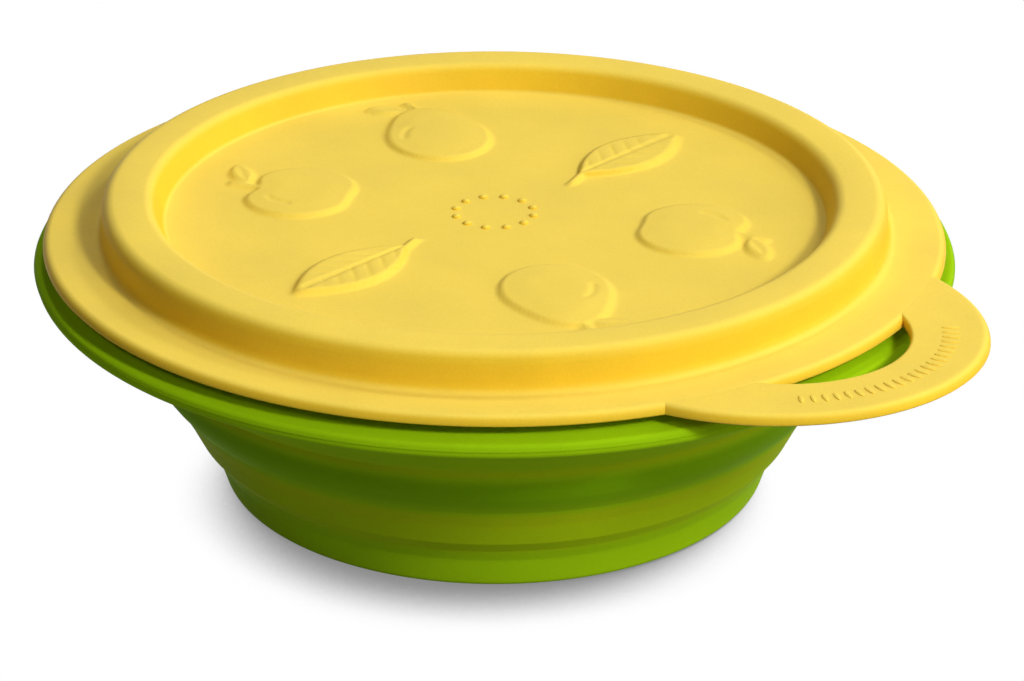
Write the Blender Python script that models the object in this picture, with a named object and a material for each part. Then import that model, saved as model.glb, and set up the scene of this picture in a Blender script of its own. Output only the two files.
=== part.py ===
"""Collapsible round food container: a silicone bowl that folds down flat, and its lid with a pull tab.

Lengths are in metres and +Z is up. The origin is the centre of the bowl's underside, and the tab
points along +X. The bowl and the lid are two mouldings. Each is parted here into the zones that bend,
fold or carry different work, so that the zones can move against each other.
"""

import math

import bmesh
import bpy
from mathutils import Vector

MM = 0.001

# How finely round shapes are cut
TURN_STEPS = 72
FILLET_STEPS = 3
ARC_STEPS = 28
MOTIF_STEPS = 26

# Room between zones that touch, and round the lid's plug
ZONE_GAP = 0.3 * MM
PLUG_CLEARANCE = 0.4 * MM

# Bowl: each wall zone leans in by its inset over its drop
MOUTH_RADIUS = 64.4 * MM
RIM_WIDTH = 10.6 * MM
RIM_THICKNESS = 4.0 * MM
RIM_FALL = 1.3 * MM
RIM_TOP_ROUND = 1.3 * MM
RIM_EDGE_ROUND = 1.2 * MM
MOUTH_ROUND = 0.8 * MM
WALL_LEVEL_THICKNESS = 2.1 * MM
UPPER_WALL_INSET = 7.8 * MM
UPPER_WALL_DROP = 10.0 * MM
MIDDLE_WALL_INSET = 5.0 * MM
MIDDLE_WALL_DROP = 9.6 * MM
CREASE_INSET = 4.0 * MM
CREASE_DROP = 7.4 * MM
STEP_INSET = 2.7 * MM
STEP_DROP = 3.3 * MM
FOOT_INSET = 2.3 * MM
FOOT_DROP = 6.7 * MM
FOOT_ROUND = 1.4 * MM
FLOOR_THICKNESS = 2.4 * MM
FLOOR_EDGE_INSET = 3.5 * MM
FLOOR_CORNER_ROUND = 2.0 * MM

# Lid: a flange over the rim, a raised ridge and a sunk panel inside it
LID_SHEET = 2.0 * MM
FLANGE_SETBACK = 1.6 * MM
FLANGE_THICKNESS = 1.7 * MM
FLANGE_EDGE_ROUND = 0.7 * MM
RIDGE_HEIGHT = 6.3 * MM
RIDGE_WIDTH = 8.4 * MM
RIDGE_DRAFT = 0.3 * MM
RIDGE_OUTER_ROUND = 2.0 * MM
RIDGE_INNER_ROUND = 2.0 * MM
PANEL_SLOPE_RUN = 1.6 * MM
PANEL_SINK = 4.4 * MM
PLUG_DEPTH = 2.6 * MM
PLUG_ROUND = 0.6 * MM

# Pull tab: a flat ring that grows out of the flange, round a slot for a finger
TAB_REACH = 18.8 * MM
TAB_RADIUS = 33.8 * MM
TAB_ARM_WIDTH = 11.7 * MM
TAB_THICKNESS = 1.6 * MM
TAB_EDGE_ROUND = 0.7 * MM
SLOT_RADIUS = 19.4 * MM
STUB_ROOT = 3.0 * MM

# Raised fruit and leaf motifs on the panel
MOTIF_COUNT = 6
MOTIF_RING_RADIUS = 33.0 * MM
MOTIF_RELIEF = 0.9 * MM
FRUIT_RADIUS = 9.5 * MM
LEAF_HALF_LENGTH = 12.5 * MM
LEAF_HALF_WIDTH = 5.6 * MM

# Colours of the two silicone mouldings, linear RGB
BOWL_GREEN = (0.165, 0.310, 0.006)
LID_YELLOW = (0.905, 0.610, 0.075)
SILICONE_ROUGHNESS = 0.55

# Heights that follow from the sizes above
STEP_Z = FOOT_DROP
CREASE_Z = STEP_Z + STEP_DROP
LOWER_FOLD_Z = CREASE_Z + CREASE_DROP
UPPER_FOLD_Z = LOWER_FOLD_Z + MIDDLE_WALL_DROP
RIM_BOTTOM_Z = UPPER_FOLD_Z + UPPER_WALL_DROP
RIM_TOP_Z = RIM_BOTTOM_Z + RIM_THICKNESS
FLANGE_BOTTOM_Z = RIM_TOP_Z + ZONE_GAP
FLANGE_TOP_Z = FLANGE_BOTTOM_Z + FLANGE_THICKNESS
RIDGE_TOP_Z = FLANGE_TOP_Z + RIDGE_HEIGHT
PANEL_TOP_Z = RIDGE_TOP_Z - PANEL_SINK

# Radii that follow from the sizes above
RIM_RADIUS = MOUTH_RADIUS + RIM_WIDTH
NECK_RADIUS = MOUTH_RADIUS + WALL_LEVEL_THICKNESS
UPPER_FOLD_RADIUS = NECK_RADIUS - UPPER_WALL_INSET
LOWER_FOLD_RADIUS = UPPER_FOLD_RADIUS - MIDDLE_WALL_INSET
CREASE_RADIUS = LOWER_FOLD_RADIUS - CREASE_INSET
STEP_RADIUS = CREASE_RADIUS - STEP_INSET
FOOT_RADIUS = STEP_RADIUS - FOOT_INSET
FLOOR_RADIUS = FOOT_RADIUS - FLOOR_EDGE_INSET
FLANGE_RADIUS = RIM_RADIUS - FLANGE_SETBACK
PLUG_RADIUS = MOUTH_RADIUS - PLUG_CLEARANCE
RIDGE_INNER_RADIUS = PLUG_RADIUS - LID_SHEET
RIDGE_CREST_RADIUS = PLUG_RADIUS - RIDGE_WIDTH
PANEL_RADIUS = RIDGE_CREST_RADIUS - PANEL_SLOPE_RUN

# The tab's two circles, and the line across its arms where it bends
TAB_CENTRE_X = FLANGE_RADIUS + TAB_REACH - TAB_RADIUS
SLOT_CENTRE_X = FLANGE_RADIUS + TAB_REACH - TAB_ARM_WIDTH - SLOT_RADIUS


def crossing_x(radius, centre_x, other_radius):
    """X where a circle round the axis meets a circle centred on the X axis."""
    return (radius**2 - other_radius**2 + centre_x**2) / (2 * centre_x)


STUB_END_X = crossing_x(FLANGE_RADIUS, SLOT_CENTRE_X, SLOT_RADIUS)
TAB_ROOT_X = STUB_END_X + ZONE_GAP
HINGE_X = TAB_ROOT_X + TAB_THICKNESS / 2
HINGE_Z = FLANGE_BOTTOM_Z + TAB_THICKNESS / 2
TAB_TOP_Z = FLANGE_BOTTOM_Z + TAB_THICKNESS


def at_radius(start, end, radius):
    """The point at this radius on the straight line through two (radius, height) points."""
    share = (radius - start[0]) / (end[0] - start[0])
    return (radius, start[1] + share * (end[1] - start[1]))


def at_height(start, end, height):
    """The point at this height on the straight line through two (radius, height) points."""
    share = (height - start[1]) / (end[1] - start[1])
    return (start[0] + share * (end[0] - start[0]), height)


def rounded(corners):
    """A closed outline from (radius, height) corners, where a third number is the corner's fillet."""
    points = []
    for index, corner in enumerate(corners):
        here = Vector(corner[:2])
        fillet = corner[2] if len(corner) > 2 else 0.0
        if fillet == 0.0:
            points.append(here)
            continue
        to_last = Vector(corners[index - 1][:2]) - here
        to_next = Vector(corners[(index + 1) % len(corners)][:2]) - here
        half_angle = to_last.angle(to_next) / 2
        longest_cut = 0.45 * min(to_last.length, to_next.length)
        cut = min(fillet / math.tan(half_angle), longest_cut)
        start = here + to_last.normalized() * cut
        end = here + to_next.normalized() * cut
        inward = (to_last.normalized() + to_next.normalized()).normalized()
        centre = here + inward * (cut / math.cos(half_angle))
        reach = (start - centre).length
        for step in range(FILLET_STEPS + 1):
            spoke = (start - centre).slerp(end - centre, step / FILLET_STEPS)
            points.append(centre + spoke.normalized() * reach)
    return points


def silicone(name, colour):
    """Matte moulded silicone of one colour."""
    material = bpy.data.materials.new(name + "_silicone")
    material.use_nodes = True
    shader = material.node_tree.nodes["Principled BSDF"]
    shader.inputs["Base Color"].default_value = (*colour, 1.0)
    shader.inputs["Roughness"].default_value = SILICONE_ROUGHNESS
    shader.inputs["Metallic"].default_value = 0.0
    return material


def finished(name, shape, colour=None):
    """A new object from a bmesh. With no colour it is a helper that only shapes another piece."""
    bmesh.ops.recalc_face_normals(shape, faces=shape.faces)
    mesh = bpy.data.meshes.new(name)
    shape.to_mesh(mesh)
    shape.free()
    piece = bpy.data.objects.new(name, mesh)
    bpy.context.scene.collection.objects.link(piece)
    if colour is None:
        piece.hide_render = True
        piece.display_type = "WIRE"
        return piece
    mesh.materials.append(silicone(name, colour))
    mesh.shade_smooth()
    mesh.set_sharp_from_angle(angle=math.radians(35))
    return piece


def turned(name, corners, colour):
    """A ring: a closed outline of (radius, height) corners, spun once round the Z axis."""
    shape = bmesh.new()
    verts = [shape.verts.new((point.x, 0.0, point.y)) for point in rounded(corners)]
    edges = [shape.edges.new((verts[index - 1], verts[index])) for index in range(len(verts))]
    bmesh.ops.spin(
        shape,
        geom=verts + edges,
        cent=(0.0, 0.0, 0.0),
        axis=(0.0, 0.0, 1.0),
        angle=math.tau,
        steps=TURN_STEPS,
        use_merge=True,
    )
    return finished(name, shape, colour)


def disc(name, radius, bottom, top, colour):
    """A plain round plate."""
    shape = bmesh.new()
    bmesh.ops.create_cone(
        shape, cap_ends=True, segments=TURN_STEPS, radius1=radius, radius2=radius, depth=top - bottom
    )
    bmesh.ops.translate(shape, verts=shape.verts, vec=(0.0, 0.0, (bottom + top) / 2))
    return finished(name, shape, colour)


def add_plate(shape, outline, bottom, top, edge_round=0.0):
    """Adds a flat plate with this outline to a bmesh, with its upper and lower edges rounded."""
    face = shape.faces.new([shape.verts.new((x, y, bottom)) for x, y in outline])
    grown = bmesh.ops.extrude_face_region(shape, geom=[face])["geom"]
    roof = [item for item in grown if isinstance(item, bmesh.types.BMVert)]
    bmesh.ops.translate(shape, verts=roof, vec=(0.0, 0.0, top - bottom))
    if edge_round:
        level = [edge for edge in shape.edges if edge.verts[0].co.z == edge.verts[1].co.z]
        bmesh.ops.bevel(
            shape,
            geom=level,
            offset=edge_round,
            offset_type="OFFSET",
            segments=2,
            profile=0.5,
            affect="EDGES",
            clamp_overlap=True,
        )


def join(piece, helper):
    """Makes a helper's shape one with a piece."""
    union = piece.modifiers.new("join_" + helper.name, "BOOLEAN")
    union.operation = "UNION"
    union.solver = "EXACT"
    union.object = helper


def arc(centre_x, radius, start, end, steps):
    """Points on a circle centred on the X axis, from one angle to another."""
    angles = [start + (end - start) * step / steps for step in range(steps + 1)]
    return [(centre_x + radius * math.cos(angle), radius * math.sin(angle)) for angle in angles]


def wall_lines():
    """The bowl's outer and inner wall lines from foot to neck, as (radius, height) points by name."""
    outer = {
        "foot": (FOOT_RADIUS, 0.0),
        "step": (STEP_RADIUS, STEP_Z),
        "crease": (CREASE_RADIUS, CREASE_Z),
        "lower_fold": (LOWER_FOLD_RADIUS, LOWER_FOLD_Z),
        "upper_fold": (UPPER_FOLD_RADIUS, UPPER_FOLD_Z),
        "neck": (NECK_RADIUS, RIM_BOTTOM_Z),
    }
    inner = {name: (radius - WALL_LEVEL_THICKNESS, z) for name, (radius, z) in outer.items()}
    return outer, inner


def make_floor():
    """The bowl's flat floor, which the container stands on."""
    return disc("bowl_floor", FLOOR_RADIUS, 0.0, FLOOR_THICKNESS, BOWL_GREEN)


def make_lower_wall():
    """The stiff wall round the floor, from the foot's round edge up to the lower fold."""
    outer, inner = wall_lines()
    floor_side = FLOOR_RADIUS + ZONE_GAP
    fold_side = LOWER_FOLD_RADIUS - ZONE_GAP / 2
    corners = [
        (floor_side, 0.0),
        (*outer["foot"], FOOT_ROUND),
        outer["step"],
        outer["crease"],
        at_radius(outer["crease"], outer["lower_fold"], fold_side),
        at_radius(inner["lower_fold"], inner["upper_fold"], fold_side),
        inner["lower_fold"],
        inner["crease"],
        inner["step"],
        (*at_height(inner["foot"], inner["step"], FLOOR_THICKNESS), FLOOR_CORNER_ROUND),
        (floor_side, FLOOR_THICKNESS),
    ]
    return turned("lower_wall", corners, BOWL_GREEN)


def make_middle_wall():
    """The wall between the two fold lines, which turns over when the bowl is pressed flat."""
    outer, inner = wall_lines()
    inner_side = LOWER_FOLD_RADIUS + ZONE_GAP / 2
    outer_side = UPPER_FOLD_RADIUS - ZONE_GAP / 2
    corners = [
        at_radius(outer["lower_fold"], outer["upper_fold"], inner_side),
        at_radius(outer["lower_fold"], outer["upper_fold"], outer_side),
        at_radius(inner["upper_fold"], inner["neck"], outer_side),
        inner["upper_fold"],
        at_radius(inner["lower_fold"], inner["upper_fold"], inner_side),
    ]
    return turned("middle_wall", corners, BOWL_GREEN)


def make_upper_wall():
    """The wall from the upper fold to the rim's underside."""
    outer, inner = wall_lines()
    fold_side = UPPER_FOLD_RADIUS + ZONE_GAP / 2
    top = RIM_BOTTOM_Z - ZONE_GAP
    corners = [
        at_radius(outer["upper_fold"], outer["neck"], fold_side),
        at_height(outer["upper_fold"], outer["neck"], top),
        at_height(inner["upper_fold"], inner["neck"], top),
        at_radius(inner["upper_fold"], inner["neck"], fold_side),
    ]
    return turned("upper_wall", corners, BOWL_GREEN)


def make_rim():
    """The thick rim that keeps the mouth round and carries the lid. Its top falls towards its edge."""
    corners = [
        (MOUTH_RADIUS, RIM_BOTTOM_Z),
        (RIM_RADIUS, RIM_BOTTOM_Z, RIM_EDGE_ROUND),
        (RIM_RADIUS, RIM_TOP_Z - RIM_FALL, RIM_TOP_ROUND),
        (MOUTH_RADIUS, RIM_TOP_Z, MOUTH_ROUND),
    ]
    return turned("rim_ring", corners, BOWL_GREEN)


def make_lid_plug():
    """The rib under the lid that presses into the bowl's mouth and seals it."""
    top = FLANGE_BOTTOM_Z - ZONE_GAP
    corners = [
        (RIDGE_INNER_RADIUS, top - PLUG_DEPTH, PLUG_ROUND),
        (PLUG_RADIUS, top - PLUG_DEPTH, PLUG_ROUND),
        (PLUG_RADIUS, top),
        (RIDGE_INNER_RADIUS, top),
    ]
    return turned("lid_plug", corners, LID_YELLOW)


def make_lid_flange():
    """The flat brim that lies on the rim, with the two stubs that the pull tab grows from."""
    corners = [
        (RIDGE_INNER_RADIUS, FLANGE_BOTTOM_Z),
        (FLANGE_RADIUS, FLANGE_BOTTOM_Z, FLANGE_EDGE_ROUND),
        (FLANGE_RADIUS, FLANGE_TOP_Z, FLANGE_EDGE_ROUND),
        (RIDGE_INNER_RADIUS, FLANGE_TOP_Z),
    ]
    flange = turned("lid_flange", corners, LID_YELLOW)
    outer_x = crossing_x(FLANGE_RADIUS, TAB_CENTRE_X, TAB_RADIUS)
    far_angle = math.acos((outer_x - TAB_CENTRE_X) / TAB_RADIUS)
    near_angle = math.acos((STUB_END_X - TAB_CENTRE_X) / TAB_RADIUS)
    slot_y = math.sqrt(SLOT_RADIUS**2 - (STUB_END_X - SLOT_CENTRE_X) ** 2)
    outline = [(STUB_END_X, slot_y)]
    outline += arc(TAB_CENTRE_X, TAB_RADIUS, near_angle, far_angle, FILLET_STEPS)
    inside = 1 - STUB_ROOT / FLANGE_RADIUS
    outline += [(x * inside, y * inside) for x, y in (outline[-1], outline[0])]
    stubs = bmesh.new()
    for side in (1, -1):
        add_plate(stubs, [(x, side * y) for x, y in outline], FLANGE_BOTTOM_Z, TAB_TOP_Z)
    join(flange, finished("tab_stubs", stubs))
    return flange


def make_lid_ridge():
    """The raised ring that stiffens the lid and keeps a bowl stacked on it from sliding off."""
    foot = FLANGE_TOP_Z + ZONE_GAP
    panel_side = PANEL_RADIUS + ZONE_GAP / 2
    crest = (RIDGE_CREST_RADIUS, RIDGE_TOP_Z)
    panel_edge = (PANEL_RADIUS, PANEL_TOP_Z)
    slope = Vector(crest) - Vector(panel_edge)
    level_sheet = LID_SHEET * slope.length / slope.y
    under_slope = [(radius + level_sheet, z) for radius, z in (panel_edge, crest)]
    corners = [
        (RIDGE_INNER_RADIUS, foot),
        (PLUG_RADIUS, foot),
        (PLUG_RADIUS - RIDGE_DRAFT, RIDGE_TOP_Z, RIDGE_OUTER_ROUND),
        (*crest, RIDGE_INNER_ROUND),
        at_radius(panel_edge, crest, panel_side),
        (panel_side, PANEL_TOP_Z - LID_SHEET),
        at_height(*under_slope, PANEL_TOP_Z - LID_SHEET),
        at_height(*under_slope, RIDGE_TOP_Z - LID_SHEET),
        (RIDGE_INNER_RADIUS - RIDGE_DRAFT, RIDGE_TOP_Z - LID_SHEET),
    ]
    return turned("lid_ridge", corners, LID_YELLOW)


def fruit_outline(top_swell, top_width, bottom_swell, bottom_width, stretch):
    """A round fruit seen from the side: a circle that swells or dents at its top and bottom."""
    points = []
    for step in range(MOTIF_STEPS):
        angle = math.tau * step / MOTIF_STEPS
        from_top = math.remainder(angle - math.pi / 2, math.tau)
        from_bottom = math.remainder(angle + math.pi / 2, math.tau)
        swell = 1 + top_swell * math.exp(-((from_top / top_width) ** 2))
        swell += bottom_swell * math.exp(-((from_bottom / bottom_width) ** 2))
        reach = FRUIT_RADIUS * swell
        points.append((stretch * reach * math.cos(angle), reach * math.sin(angle)))
    return points


def leaf_outline():
    """A pointed leaf along Y, each side a parabola."""
    half = MOTIF_STEPS // 2
    ends = [-1 + 2 * step / half for step in range(half)]
    right = [(LEAF_HALF_WIDTH * (1 - end**2), LEAF_HALF_LENGTH * end) for end in ends]
    return right + [(-x, -y) for x, y in right]


def motif_outlines():
    """Apple, leaf and pear outlines in turn round the panel, each with its top to the outside."""
    apple = fruit_outline(-0.26, 0.38, -0.10, 0.35, 1.08)
    pear = fruit_outline(0.42, 0.62, 0.04, 0.90, 0.92)
    kinds = (apple, leaf_outline(), pear)
    for index in range(MOTIF_COUNT):
        turn = math.tau * (index + 0.5) / MOTIF_COUNT
        out = Vector((math.cos(turn), math.sin(turn)))
        across = Vector((out.y, -out.x))
        yield [
            out * (MOTIF_RING_RADIUS + y) + across * x for x, y in kinds[index % len(kinds)]
        ]


def make_lid_panel():
    """The sunk round panel in the middle of the lid, with its low raised motifs."""
    side = PANEL_RADIUS - ZONE_GAP / 2
    panel = disc("lid_panel", side, PANEL_TOP_Z - LID_SHEET, PANEL_TOP_Z, LID_YELLOW)
    motifs = bmesh.new()
    for outline in motif_outlines():
        add_plate(motifs, outline, PANEL_TOP_Z - LID_SHEET / 2, PANEL_TOP_Z + MOTIF_RELIEF)
    join(panel, finished("panel_motifs", motifs))
    return panel


def make_pull_tab():
    """The flat ring that is pulled up to peel the lid off."""
    outer_angle = math.acos((TAB_ROOT_X - TAB_CENTRE_X) / TAB_RADIUS)
    slot_angle = math.acos((TAB_ROOT_X - SLOT_CENTRE_X) / SLOT_RADIUS)
    outline = arc(TAB_CENTRE_X, TAB_RADIUS, -outer_angle, outer_angle, ARC_STEPS)
    outline += arc(SLOT_CENTRE_X, SLOT_RADIUS, slot_angle, -slot_angle, ARC_STEPS)
    tab = bmesh.new()
    add_plate(tab, outline, FLANGE_BOTTOM_Z, TAB_TOP_Z, TAB_EDGE_ROUND)
    return finished("pull_tab", tab, LID_YELLOW)


def moving_group(name, place, carrier, pieces):
    """An empty on a joint's axis that carries the pieces which move with it."""
    joint = bpy.data.objects.new(name, None)
    bpy.context.scene.collection.objects.link(joint)
    joint.parent = carrier
    carried_at = carrier.matrix_world.translation if carrier else Vector()
    joint.location = Vector(place) - carried_at
    bpy.context.view_layer.update()
    for piece in pieces:
        piece.parent = joint
        piece.location = -Vector(place)
    return joint


def main():
    for leftover in list(bpy.data.objects):
        bpy.data.objects.remove(leftover)
    base = moving_group("base_frame", (0, 0, 0), None, [make_floor(), make_lower_wall()])
    moving_group("middle_fold", (0, 0, LOWER_FOLD_Z), base, [make_middle_wall()])
    rim_pieces = [make_upper_wall(), make_rim()]
    rim = moving_group("collapse_slide", (0, 0, UPPER_FOLD_Z), base, rim_pieces)
    lid_pieces = [make_lid_plug(), make_lid_flange(), make_lid_ridge(), make_lid_panel()]
    lid = moving_group("lid_lift", (0, 0, RIM_TOP_Z), rim, lid_pieces)
    moving_group("tab_hinge", (HINGE_X, 0, HINGE_Z), lid, [make_pull_tab()])


main()
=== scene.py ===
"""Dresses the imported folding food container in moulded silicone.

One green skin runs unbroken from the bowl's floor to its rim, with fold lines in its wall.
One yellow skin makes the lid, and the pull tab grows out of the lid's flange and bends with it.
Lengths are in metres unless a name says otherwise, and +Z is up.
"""

import math

import bpy
import numpy as np
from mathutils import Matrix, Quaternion, Vector


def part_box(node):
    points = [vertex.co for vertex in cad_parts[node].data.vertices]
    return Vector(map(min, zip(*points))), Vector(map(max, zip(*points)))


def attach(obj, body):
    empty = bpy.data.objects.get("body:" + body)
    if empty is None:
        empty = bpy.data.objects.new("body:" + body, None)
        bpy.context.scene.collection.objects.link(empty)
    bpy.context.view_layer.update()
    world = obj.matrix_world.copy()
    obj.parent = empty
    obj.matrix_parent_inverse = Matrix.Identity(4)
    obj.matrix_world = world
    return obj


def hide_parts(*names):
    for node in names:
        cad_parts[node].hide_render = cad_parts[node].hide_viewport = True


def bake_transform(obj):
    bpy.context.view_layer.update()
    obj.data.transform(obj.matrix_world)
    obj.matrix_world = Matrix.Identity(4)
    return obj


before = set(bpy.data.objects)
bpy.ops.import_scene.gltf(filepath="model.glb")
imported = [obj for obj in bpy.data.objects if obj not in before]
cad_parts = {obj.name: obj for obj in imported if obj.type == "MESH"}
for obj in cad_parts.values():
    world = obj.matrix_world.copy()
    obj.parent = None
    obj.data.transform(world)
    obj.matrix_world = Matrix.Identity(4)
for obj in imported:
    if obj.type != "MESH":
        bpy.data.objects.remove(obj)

bl_info = {
    "name": "Folding Silicone Container",
    "version": (1, 0, 0),
    "blender": (4, 5, 0),
    "location": "View3D > Sidebar > Container",
    "description": "Dresses the folding bowl, its lid and its pull tab in moulded silicone",
    "category": "Add Mesh",
}

MM = 0.001

# Boxes of the solids that the skins stand for
RIM_LOW, RIM_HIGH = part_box("rim_ring")
FLANGE_LOW, FLANGE_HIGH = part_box("lid_flange")
RIDGE_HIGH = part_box("lid_ridge")[1]
PLUG_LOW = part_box("lid_plug")[0]
PANEL_LOW, PANEL_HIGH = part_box("lid_panel")
FLOOR_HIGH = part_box("bowl_floor")[1]

# Outside of the bowl's wall, as radius and height: where it folds, creases and steps
UPPER_FOLD = (58.7 * MM, 27.0 * MM)
LOWER_FOLD = (53.7 * MM, 17.45 * MM)
BAND_FOOT = (51.85 * MM, 14.2 * MM)
CREASE = (49.75 * MM, 10.0 * MM)
CREASE_FOOT = (47.9 * MM, 7.8 * MM)
STEP = (46.6 * MM, 5.5 * MM)
FOOT = (44.8 * MM, 0.0)

# The soft flange's tilt: none at its foot, this slope further out, highest on this side
FLANGE_FOOT = RIDGE_HIGH.y
FLANGE_TILT = 0.07
TILT_SIDE = math.radians(-62.6)

# Height of a motif's stalk and small leaf, as a share of its body's height
SIDE_RELIEF = 0.7

# How finely the skins are cut
BOWL_STEPS = 360
LID_STEPS = 420
TAB_STEPS = 160


class BowlSettings(bpy.types.PropertyGroup):
    """Sizes and colours of the folding bowl."""

    rim_radius: bpy.props.FloatProperty(
        name="Rim radius", description="Outer radius of the rim", default=RIM_HIGH.y, unit="LENGTH"
    )
    mouth_radius: bpy.props.FloatProperty(
        name="Mouth radius", description="Inner radius of the rim", default=64.4 * MM, unit="LENGTH"
    )
    rim_fall: bpy.props.FloatProperty(
        name="Rim fall",
        description="How far the rim's top falls to its edge",
        default=1.3 * MM,
        unit="LENGTH",
    )
    rim_round: bpy.props.FloatProperty(
        name="Rim round", description="Round of the rim's two edges", default=1.0 * MM, unit="LENGTH"
    )
    wall: bpy.props.FloatProperty(
        name="Wall", description="Level thickness of the stiff wall zones", default=2.1 * MM, unit="LENGTH"
    )
    fold_wall: bpy.props.FloatProperty(
        name="Fold wall",
        description="Level thickness of the zone that folds",
        default=1.3 * MM,
        unit="LENGTH",
    )
    fold_bow: bpy.props.FloatProperty(
        name="Fold bow", description="How far the folding zone bulges out", default=0.55 * MM, unit="LENGTH"
    )
    line_height: bpy.props.FloatProperty(
        name="Parting line",
        description="Height of the mould's parting line",
        default=0.18 * MM,
        unit="LENGTH",
    )
    green: bpy.props.StringProperty(
        name="Green", description="Colour of the bowl, sRGB", default="#A2CC0E"
    )
    # Deep green is the thick rim's tone and also the painted shade on the zone between the folds
    deep_and_shaded_green: bpy.props.StringProperty(
        name="Deep green", description="Colour of the thickest silicone, sRGB", default="#84B608"
    )
    # Olive is the thin silicone at the fold lines and also the painted light on the band below the lower
    # fold
    fold_olive_and_lit_band: bpy.props.StringProperty(
        name="Fold olive", description="Colour of the thin silicone at the folds, sRGB", default="#B4CC10"
    )


class LidSettings(bpy.types.PropertyGroup):
    """Sizes and colours of the lid and its raised motifs."""

    flange_radius: bpy.props.FloatProperty(
        name="Flange radius", description="Outer radius of the lid", default=FLANGE_HIGH.y, unit="LENGTH"
    )
    ridge_radius: bpy.props.FloatProperty(
        name="Ridge radius", description="Outer radius of the ridge", default=RIDGE_HIGH.y, unit="LENGTH"
    )
    ridge_width: bpy.props.FloatProperty(
        name="Ridge width", description="Width of the ridge's flat crest", default=8.4 * MM, unit="LENGTH"
    )
    panel_radius: bpy.props.FloatProperty(
        name="Panel radius", description="Radius of the sunk panel", default=PANEL_HIGH.y, unit="LENGTH"
    )
    sheet: bpy.props.FloatProperty(
        name="Sheet", description="Thickness of the lid's sheet", default=2.0 * MM, unit="LENGTH"
    )
    relief: bpy.props.FloatProperty(
        name="Relief", description="Height of the raised motifs", default=0.9 * MM, unit="LENGTH"
    )
    motif_ring: bpy.props.FloatProperty(
        name="Motif ring", description="Radius that the motifs stand on", default=33.0 * MM, unit="LENGTH"
    )
    fruit_radius: bpy.props.FloatProperty(
        name="Fruit radius", description="Mean radius of a fruit", default=9.5 * MM, unit="LENGTH"
    )
    leaf_length: bpy.props.FloatProperty(
        name="Leaf half length", description="Half length of a leaf", default=12.5 * MM, unit="LENGTH"
    )
    leaf_width: bpy.props.FloatProperty(
        name="Leaf half width", description="Half width of a leaf", default=5.6 * MM, unit="LENGTH"
    )
    dot_count: bpy.props.IntProperty(
        name="Dots", description="Dots in the ring at the panel's middle", default=12
    )
    dot_ring: bpy.props.FloatProperty(
        name="Dot ring", description="Radius of the ring of dots", default=6.5 * MM, unit="LENGTH"
    )
    yellow: bpy.props.StringProperty(
        name="Yellow", description="Colour of the lid, sRGB", default="#EABC14"
    )
    # The pale yellow is painted light: faces that look up are drawn paler, as if lit
    lit_pale_yellow: bpy.props.StringProperty(
        name="Pale yellow", description="Colour where the powder bloom is full, sRGB", default="#FBDB59"
    )


class TabSettings(bpy.types.PropertyGroup):
    """Sizes of the pull tab."""

    outer_centre: bpy.props.FloatProperty(
        name="Outer centre", description="Centre of the tab's outer edge", default=58.4 * MM, unit="LENGTH"
    )
    outer_radius: bpy.props.FloatProperty(
        name="Outer radius", description="Radius of the tab's outer edge", default=33.8 * MM, unit="LENGTH"
    )
    slot_centre: bpy.props.FloatProperty(
        name="Slot centre", description="Centre of the finger slot's edge", default=61.1 * MM, unit="LENGTH"
    )
    slot_radius: bpy.props.FloatProperty(
        name="Slot radius", description="Radius of the finger slot's edge", default=19.4 * MM, unit="LENGTH"
    )
    rib_count: bpy.props.IntProperty(name="Ribs", description="Grip ribs on the tab", default=23)
    rib_length: bpy.props.FloatProperty(
        name="Rib length", description="Length of a grip rib", default=2.8 * MM, unit="LENGTH"
    )


class StageSettings(bpy.types.PropertyGroup):
    """Camera, floor and studio light."""

    azimuth: bpy.props.FloatProperty(
        name="Azimuth",
        description="Camera's turn round the bowl",
        default=math.radians(43.2),
        subtype="ANGLE",
    )
    elevation: bpy.props.FloatProperty(
        name="Elevation", description="Camera's height angle", default=math.radians(23.73), subtype="ANGLE"
    )
    distance: bpy.props.FloatProperty(
        name="Distance",
        description="Camera to the point on the axis it turns round",
        default=0.65,
        unit="LENGTH",
    )
    aim_height: bpy.props.FloatProperty(
        name="Aim height", description="Height of that point on the axis", default=37.8 * MM, unit="LENGTH"
    )
    lens: bpy.props.FloatProperty(
        name="Lens", description="Focal length on a 36 mm sensor", default=139.476, unit="CAMERA"
    )
    roll: bpy.props.FloatProperty(
        name="Roll", description="Camera's lean to the left", default=math.radians(0.23), subtype="ANGLE"
    )
    front_power: bpy.props.FloatProperty(
        name="Front", description="Power of the lamp at the front right", default=6.3, unit="POWER"
    )
    side_power: bpy.props.FloatProperty(
        name="Side", description="Power of the lamp at the back right", default=1.9, unit="POWER"
    )
    back_power: bpy.props.FloatProperty(
        name="Back", description="Power of the lamp high behind the bowl", default=1.8, unit="POWER"
    )
    fill_power: bpy.props.FloatProperty(
        name="Fill", description="Power of the lamp at the front left", default=1.35, unit="POWER"
    )
    window: bpy.props.FloatProperty(
        name="Window", description="Brightness of the room's bright right side", default=1.6
    )
    room: bpy.props.FloatProperty(
        name="Room", description="Brightness of the rest of the room", default=0.02
    )
    shadow_reach: bpy.props.FloatProperty(
        name="Shadow reach",
        description="How far from the floor a wall still darkens it",
        default=32 * MM,
        unit="LENGTH",
    )
    floor_glow: bpy.props.FloatProperty(
        name="Floor glow", description="Brightness of the sheet as it lights the bowl", default=0.065
    )


def to_linear(code):
    """Linear RGBA of an sRGB hex code."""
    shares = [int(code[start : start + 2], 16) / 255 for start in (1, 3, 5)]
    linear = [share / 12.92 if share <= 0.04045 else ((share + 0.055) / 1.055) ** 2.4 for share in shares]
    return (*linear, 1.0)


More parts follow.
